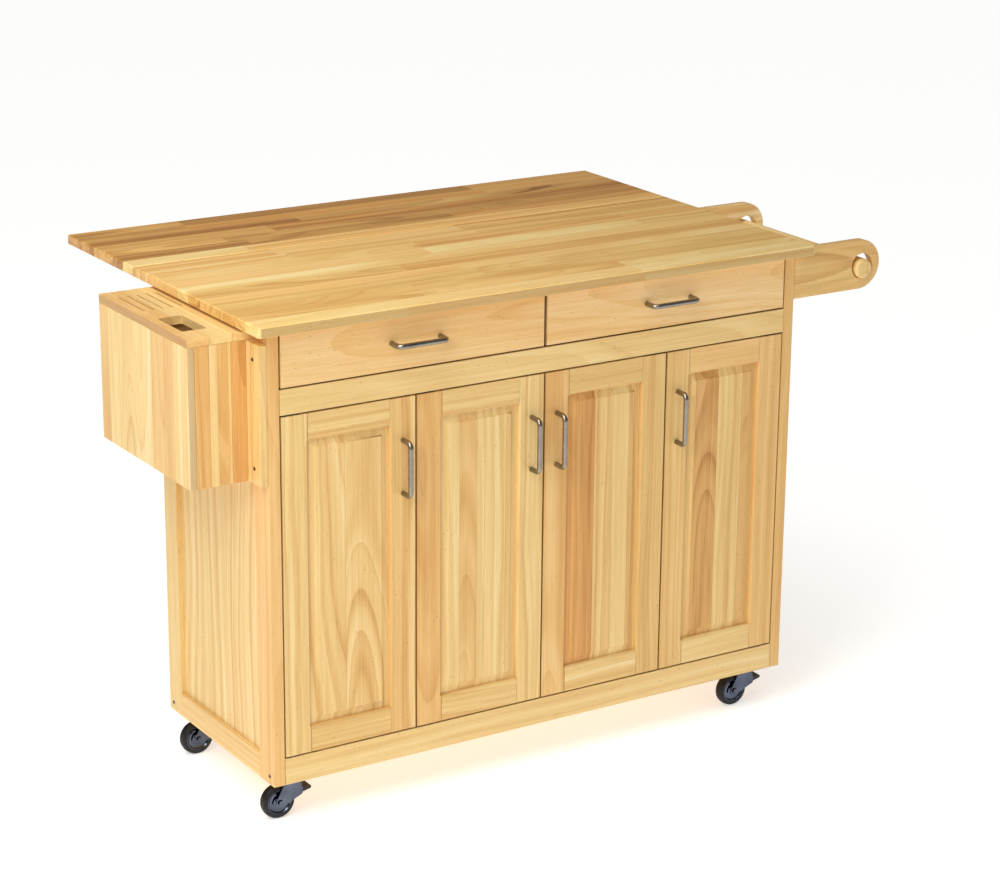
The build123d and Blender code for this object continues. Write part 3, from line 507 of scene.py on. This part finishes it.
def wood(node, material, grain=None, stave=0.06, lengths=None, tone=0.36, spread=0.10,
         strength=0.30, lit_edge_tone=None, plan=None, plans=None, gap_shade=0.0, reshape=None):
    """Takes a wooden CAD node over as one mesh, board by board and stave by stave.

    grain fixes the fibre axis; otherwise it is each board's longest side. A board clearly
    wider than a stave is cut along its glue lines, and at end joints too if lengths is given.
    tone is the middle tone of all boards, or a list with one for each board. lit_edge_tone is the
    tone of the row of staves at the low side, set lighter as painted light along a lit edge or
    seam.
    plan gives the shares of the width and the looks of the staves where they are known, and plans
    does so for single boards. gap_shade darkens end faces and the outer rim with painted shade, in
    place of the shade in the gaps around doors and drawers and in joint grooves.
    """
    dice = random.Random(node)
    node_low, node_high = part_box(node)
    made = bmesh.new()
    grain_layer = made.loops.layers.float_vector.new("grain")
    look_layer = made.faces.layers.float_vector.new("look")
    pith_layer = made.faces.layers.float_vector.new("pith")
    warm_layer = made.faces.layers.float.new("warm")
    stave_layer = made.faces.layers.float.new("stave")
    gap_shade_layer = made.faces.layers.float.new("gap_shade")
    for number, (points, faces) in enumerate(solids(node)):
        if reshape:
            points, faces = reshape(points)
        known = plans.get(number) if plans else plan
        base = tone[number] if isinstance(tone, list) else tone
        size = [limits(points, axis)[1] - limits(points, axis)[0] for axis in (X, Y, Z)]
        along = grain if grain is not None else size.index(max(size))
        across, thick = sorted((a for a in (X, Y, Z) if a != along), key=lambda a: -size[a])
        low, high = limits(points, across)
        start, end = limits(points, along)
        middle_w = sum(limits(points, thick)) / 2

        cuts = glue_lines(low, high, stave, known, dice)
        bounds = [low, *cuts, high]
        ended = lengths and cuts
        rows = [end_joints(start, end, lengths, dice) if ended else [] for _ in bounds[1:]]
        looks = []
        for i, joints in enumerate(rows):
            row = []
            for _ in range(len(joints) + 1):
                look = random_stave(dice, base, spread, strength)
                # the row at the low side is set lighter: painted light along a lit front edge or
                # seam
                if lit_edge_tone is not None and i == 0:
                    look["tone"] = lit_edge_tone + dice.uniform(-0.04, 0.04)
                look["seed"] = dice.uniform(0.0, 9.0)
                if known:
                    look.update(known[i][1])
                row.append(look)
            looks.append(row)

        board = cut_board(points, faces, across, along, bounds, rows)
        copies = [made.verts.new(v.co) for v in board.verts]
        for f in board.faces:
            centre = f.calc_center_median()
            row = sum(1 for cut in cuts if centre[across] > cut)
            part = sum(1 for joint in rows[row] if centre[along] > joint)
            look = looks[row][part]
            ends = [start, *rows[row], end]
            middle_u = (ends[part] + ends[part + 1]) / 2
            middle_v = (bounds[row] + bounds[row + 1]) / 2
            rim = any(min(abs(centre[a] - node_low[a]), abs(centre[a] - node_high[a])) < RIM
                      for a in (X, Z))
            face = made.faces.new([copies[v.index] for v in f.verts])
            face[look_layer] = Vector((look["seed"], look["tone"], look["figure"]))
            face[pith_layer] = Vector(look["pith"])
            face[warm_layer] = look["warm"]
            face[stave_layer] = (bounds[row + 1] - bounds[row]) / 2 if cuts else WHOLE_BOARD
            # painted shade of the gaps and joint grooves, laid on the outer rim and the end faces
            face[gap_shade_layer] = gap_shade if rim or abs(f.normal[along]) > END_GRAIN else 0.0
            for loop in face.loops:
                p = loop.vert.co
                loop[grain_layer] = Vector(
                    (p[along] - middle_u, p[across] - middle_v, p[thick] - middle_w))
        board.free()
    mesh = bpy.data.meshes.new(node + "_wood")
    made.normal_update()
    made.to_mesh(mesh)
    made.free()
    piece = link(node + "_wood", mesh, material, body_of[node])
    soften(piece)
    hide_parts(node)


def stave(share, tone, warm=0.0, figure=0.4, pith=None):
    """One stave of a panel: its share of the width and its look."""
    look = {"tone": tone, "warm": warm, "figure": figure}
    if pith:
        look["pith"] = pith
    return share, look


# The staves of each door panel, from left to right
PANELS = {
    "door_1_panel": [
        stave(0.45, 0.34, 0.05, 0.65, (0.045, 0.030, 0.115)),
        stave(0.55, 0.38, 0.08, 0.70, (-0.012, 0.040, -0.105)),
    ],
    "door_2_panel": [
        stave(0.24, 0.30, 0.00, 0.3), stave(0.22, 0.42, 0.10, 0.5),
        stave(0.10, 0.34, 0.00, 0.3), stave(0.28, 0.30, 0.00, 0.4),
        stave(0.16, 0.36, 0.05, 0.4),
    ],
    "door_3_panel": [
        stave(0.37, 0.58, 0.32, 0.25), stave(0.25, 0.42, 0.05, 0.6),
        stave(0.22, 0.34, 0.00, 0.3), stave(0.16, 0.46, 0.10, 0.4),
    ],
    "door_4_panel": [
        stave(0.12, 0.42, 0.05, 0.3), stave(0.32, 0.56, 0.18, 0.6),
        stave(0.34, 0.38, 0.00, 0.4), stave(0.10, 0.50, 0.15, 0.4),
        stave(0.12, 0.42, 0.10, 0.3),
    ],
}
# The staves of the knife block's outer wall, front and back board
BLOCK_WALLS = {
    0: [
        stave(0.16, 0.30, 0.00, 0.4), stave(0.10, 0.44, 0.15, 0.4),
        stave(0.14, 0.40, 0.10, 0.4),
        stave(0.20, 0.26, 0.00, 0.5, (0.01, 0.035, 0.05)),
        stave(0.18, 0.34, 0.00, 0.6, (0.0, 0.03, -0.06)),
        stave(0.12, 0.28, 0.00, 0.3), stave(0.10, 0.40, 0.10, 0.3),
    ],
    1: [
        stave(0.28, 0.48, 0.20, 0.5), stave(0.16, 0.34, 0.00, 0.3),
        stave(0.19, 0.50, 0.15, 0.4), stave(0.07, 0.40, 0.00, 0.3),
        stave(0.30, 0.57, 0.22, 0.4),
    ],
    5: [stave(1.0, 0.38, 0.05, 0.5)],
}
DRAWER_FRONT = [stave(1.0, 0.17, 0.30, 0.50, (0.02, 0.045, 0.05))]
# strength of the painted shade on the rims and end faces of doors, drawers and rails, standing in
# for the shade in their gaps
PAINTED_GAP_SHADE = 0.45

for node, plan in PANELS.items():
    wood(node, rubberwood, grain=Z, plan=plan, reshape=raised_panel)
for i in range(1, 5):
    wood(f"door_{i}_frame", rubberwood,
         tone=0.38, spread=0.09, strength=0.55, gap_shade=PAINTED_GAP_SHADE)
# the lighter front row of staves is painted light on the top's front edge
wood("main_top", butcher_block, grain=X, stave=0.045, lengths=0.55,
     tone=0.30, spread=0.15, strength=0.5, lit_edge_tone=0.16)
# the lighter row of staves beside the seam with the top is a painted highlight of that seam
wood("drop_leaf", butcher_block, grain=X, stave=0.040, lengths=0.60,
     tone=0.54, spread=0.16, strength=0.45, lit_edge_tone=0.20)
wood("side_panels", rubberwood, grain=Z, stave=0.16,
     tone=0.32, spread=0.04, strength=0.8)
wood("knife_block_walls", rubberwood, grain=Z, stave=0.034,
     spread=0.12, strength=0.45, plans=BLOCK_WALLS)
wood("knife_block_lid", rubberwood, grain=Y, stave=0.042, tone=0.38, spread=0.08)
wood("towel_arms", rubberwood, stave=0.12,
     tone=[0.50, 0.18], spread=0.05, strength=0.9)
for node in ("side_frame_left", "side_frame_right", "shelf_cleats"):
    wood(node, rubberwood, stave=0.12, spread=0.07)
wood("face_rails", rubberwood, stave=0.12,
     spread=0.06, strength=0.45, gap_shade=PAINTED_GAP_SHADE)
for node in ("cabinet_floor", "partitions", "drawer_deck", "shelves", "back_panel"):
    wood(node, rubberwood, stave=0.07, spread=0.08)
for side in ("left", "right"):
    wood(f"{side}_drawer_front", rubberwood, grain=X, gap_shade=PAINTED_GAP_SHADE,
         plan=DRAWER_FRONT)
    wood(f"{side}_drawer_box", rubberwood, stave=0.08, spread=0.06)
wood("towel_bar", rubberwood, grain=Y, stave=0.12, tone=0.32, spread=0.03)

# ---------------------------------------------------------------- metal and plastic of the frame
ZINC_STARTS = ("bracket_", "leaf_hinges", "drawer_channels")
FINISHES = [
    (satin_nickel, [n for n in nodes if n.endswith("_pull")]),
    (zinc_plate, [n for n in nodes
                  if n.startswith(ZINC_STARTS) or n.endswith("_runners") or n == "caster_plates"]),
    (dark_bronze, [n for n in nodes if n.endswith("_pivots") or n == "screws"]),
    (bright_zinc, [n for n in nodes if n.startswith("fork_")]),
    (brass, ["door_bushes"]),
    (pedal_plastic, [n for n in nodes if n.startswith("brake_lever")]),
    (catch_plastic, ["door_catches"]),
]
for material, members in FINISHES:
    for node in members:
        mesh = nodes[node].data
        mesh.materials.clear()
        mesh.materials.append(material)


# ---------------------------------------------------------------- wheels
TYRE_TURNS, HUB_TURNS = 96, 72
TYRE_DEPTH = 0.0085  # from the tread to the hub
TREAD_DROP = 0.0005  # from the crown to the tread's shoulders
AXLE_HOLE = 0.0031


def lathe(name, centre, outer, turns, material, body):
    """A closed ring about a wheel's axle, the same on both sides.

    outer is one side's outline as (radius, place across) points.
    """
    profile = outer + [(r, -y) for r, y in reversed(outer)]
    bm = bmesh.new()
    rings = []
    for i in range(turns):
        angle = 2 * math.pi * i / turns
        out = Vector((math.cos(angle), 0, math.sin(angle)))
        rings.append([bm.verts.new(centre + out * r + Vector((0, y, 0))) for r, y in profile])
    count = len(profile)
    for i in range(turns):
        here, there = rings[i], rings[(i + 1) % turns]
        for k in range(count):
            bm.faces.new((here[k], here[(k + 1) % count], there[(k + 1) % count], there[k]))
    bmesh.ops.recalc_face_normals(bm, faces=bm.faces)
    mesh = bpy.data.meshes.new(name)
    bm.to_mesh(mesh)
    bm.free()
    return link(name, mesh, material, body)


def caster_looks(corner):
    """The tyre and the pressed hub of one wheel, in place of its plain solids."""
    node = f"wheel_{corner}"
    low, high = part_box(node)
    centre = (low + high) / 2
    radius = (high.z - low.z) / 2
    side = -(high.y - low.y) / 2
    hub = radius - TYRE_DEPTH
    tread = radius - TREAD_DROP
    tyre_side = [
        (hub, side), (hub + 0.0012, side), (hub + 0.002, side + 0.0006),
        (radius - 0.0042, side + 0.0004), (radius - 0.0024, side + 0.0014),
        (radius - 0.001, side + 0.0032), (tread, side + 0.0055),
        (radius, -0.0012), (radius, 0.0012),
    ]
    tyre = lathe(node + "_tyre", centre, tyre_side, TYRE_TURNS, tyre_rubber, node)
    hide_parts(node)
    hub_side = [
        (AXLE_HOLE, side), (0.0052, side), (0.0064, side + 0.0005), (0.0070, side + 0.0018),
        (0.0092, side + 0.0034), (0.0120, side + 0.0036), (0.0140, side + 0.0028),
        (0.0152, side + 0.0028), (0.0172, side + 0.0036), (hub - 0.0035, side + 0.0032),
        (hub - 0.0022, side + 0.0010), (hub - 0.0012, side + 0.0001), (hub, side + 0.0004),
    ]
    rim = lathe(node + "_hub", centre, hub_side, HUB_TURNS, bright_zinc, node)
    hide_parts(node)


for corner in ("front_left", "front_right", "rear_left", "rear_right"):
    caster_looks(corner)

# ---------------------------------------------------------------- floor, light and camera
FLOOR_REACH = 40.0
corners = [(x * FLOOR_REACH, y * FLOOR_REACH, 0) for x, y in ((-1, -1), (1, -1), (1, 1), (-1, 1))]
floor_mesh = bpy.data.meshes.new("studio_floor")
floor_mesh.from_pydata(corners, [], [(0, 1, 2, 3)])
floor = bpy.data.objects.new("studio_floor", floor_mesh)
bpy.context.scene.collection.objects.link(floor)
paper = Shader(
    "studio_paper", Roughness=0.9, Emission_Color=srgb(250, 250, 250), Emission_Strength=0.57)
mottle = paper.between(paper.noise(paper.place(), 60.0, 2.0), -0.4, 0.4)
paper.feed(Base_Color=paper.mix(mottle, srgb(240, 239, 237), srgb(246, 245, 243)))
floor_mesh.materials.append(paper.material)

world = bpy.data.worlds.new("studio")
bpy.context.scene.world = world
world.use_nodes = True
background = world.node_tree.nodes["Background"]
background.inputs["Color"].default_value = srgb(236, 240, 246)
background.inputs["Strength"].default_value = 0.2


def lamp(name, kind, place, aim, energy, size, colour):
    """A soft light at a place, aimed at a point; size is a panel's sides or a sun's angle."""
    data = bpy.data.lights.new(name, kind)
    data.energy = energy
    data.color = colour
    if kind == "AREA":
        data.shape = "RECTANGLE"
        data.size, data.size_y = size
    else:
        data.angle = size
    light = bpy.data.objects.new(name, data)
    bpy.context.scene.collection.objects.link(light)
    light.location = place
    light.rotation_mode = "QUATERNION"
    light.rotation_quaternion = (Vector(aim) - Vector(place)).to_track_quat("-Z", "Y")


WARM_SKY, WARM_PANEL = (1.0, 0.985, 0.95), (1.0, 0.975, 0.93)
lamp("sky_sun", "SUN", (-1.2, -0.8, 4.0), (0, 0, 0), 1.05, math.radians(50), WARM_SKY)
lamp("key_panel", "AREA", (-2.2, -1.6, 2.2), (0.0, 0.0, 0.6), 34, (1.3, 1.3), WARM_PANEL)
lamp("top_panel", "AREA", (-1.0, -0.5, 2.5), (-0.3, -0.2, 0.914), 14, (1.0, 1.0), WARM_PANEL)

# The camera stands to the front left and looks down; TARGET is moved in the picture by
# SIDEWAYS and UPWARD to frame the whole island.
AZIMUTH, ELEVATION, ROLL = math.radians(32.18), math.radians(17.62), math.radians(0.51)
DISTANCE = 5.083
TARGET = Vector((-0.08725, -0.15475, 0.45))
SIDEWAYS, UPWARD = -0.07, -0.117
LENS, SENSOR = 99.35, 36.0
forward = Vector((
    math.sin(AZIMUTH) * math.cos(ELEVATION),
    math.cos(AZIMUTH) * math.cos(ELEVATION),
    -math.sin(ELEVATION),
))
level = Vector((math.cos(AZIMUTH), -math.sin(AZIMUTH), 0))
upright = level.cross(forward)
right_way = level * math.cos(ROLL) + upright * math.sin(ROLL)
up_way = upright * math.cos(ROLL) - level * math.sin(ROLL)
place = TARGET - forward * DISTANCE - right_way * SIDEWAYS - up_way * UPWARD
turned = Matrix((right_way, up_way, -forward)).transposed().to_4x4()
camera_data = bpy.data.cameras.new("photo_camera")
camera_data.lens = LENS
camera_data.sensor_width = SENSOR
camera_data.clip_start = 0.1
camera_data.clip_end = 120.0
camera = bpy.data.objects.new("photo_camera", camera_data)
bpy.context.scene.collection.objects.link(camera)
camera.matrix_world = Matrix.Translation(place) @ turned
bpy.context.scene.camera = camera
bpy.context.scene.view_settings.view_transform = "Standard"
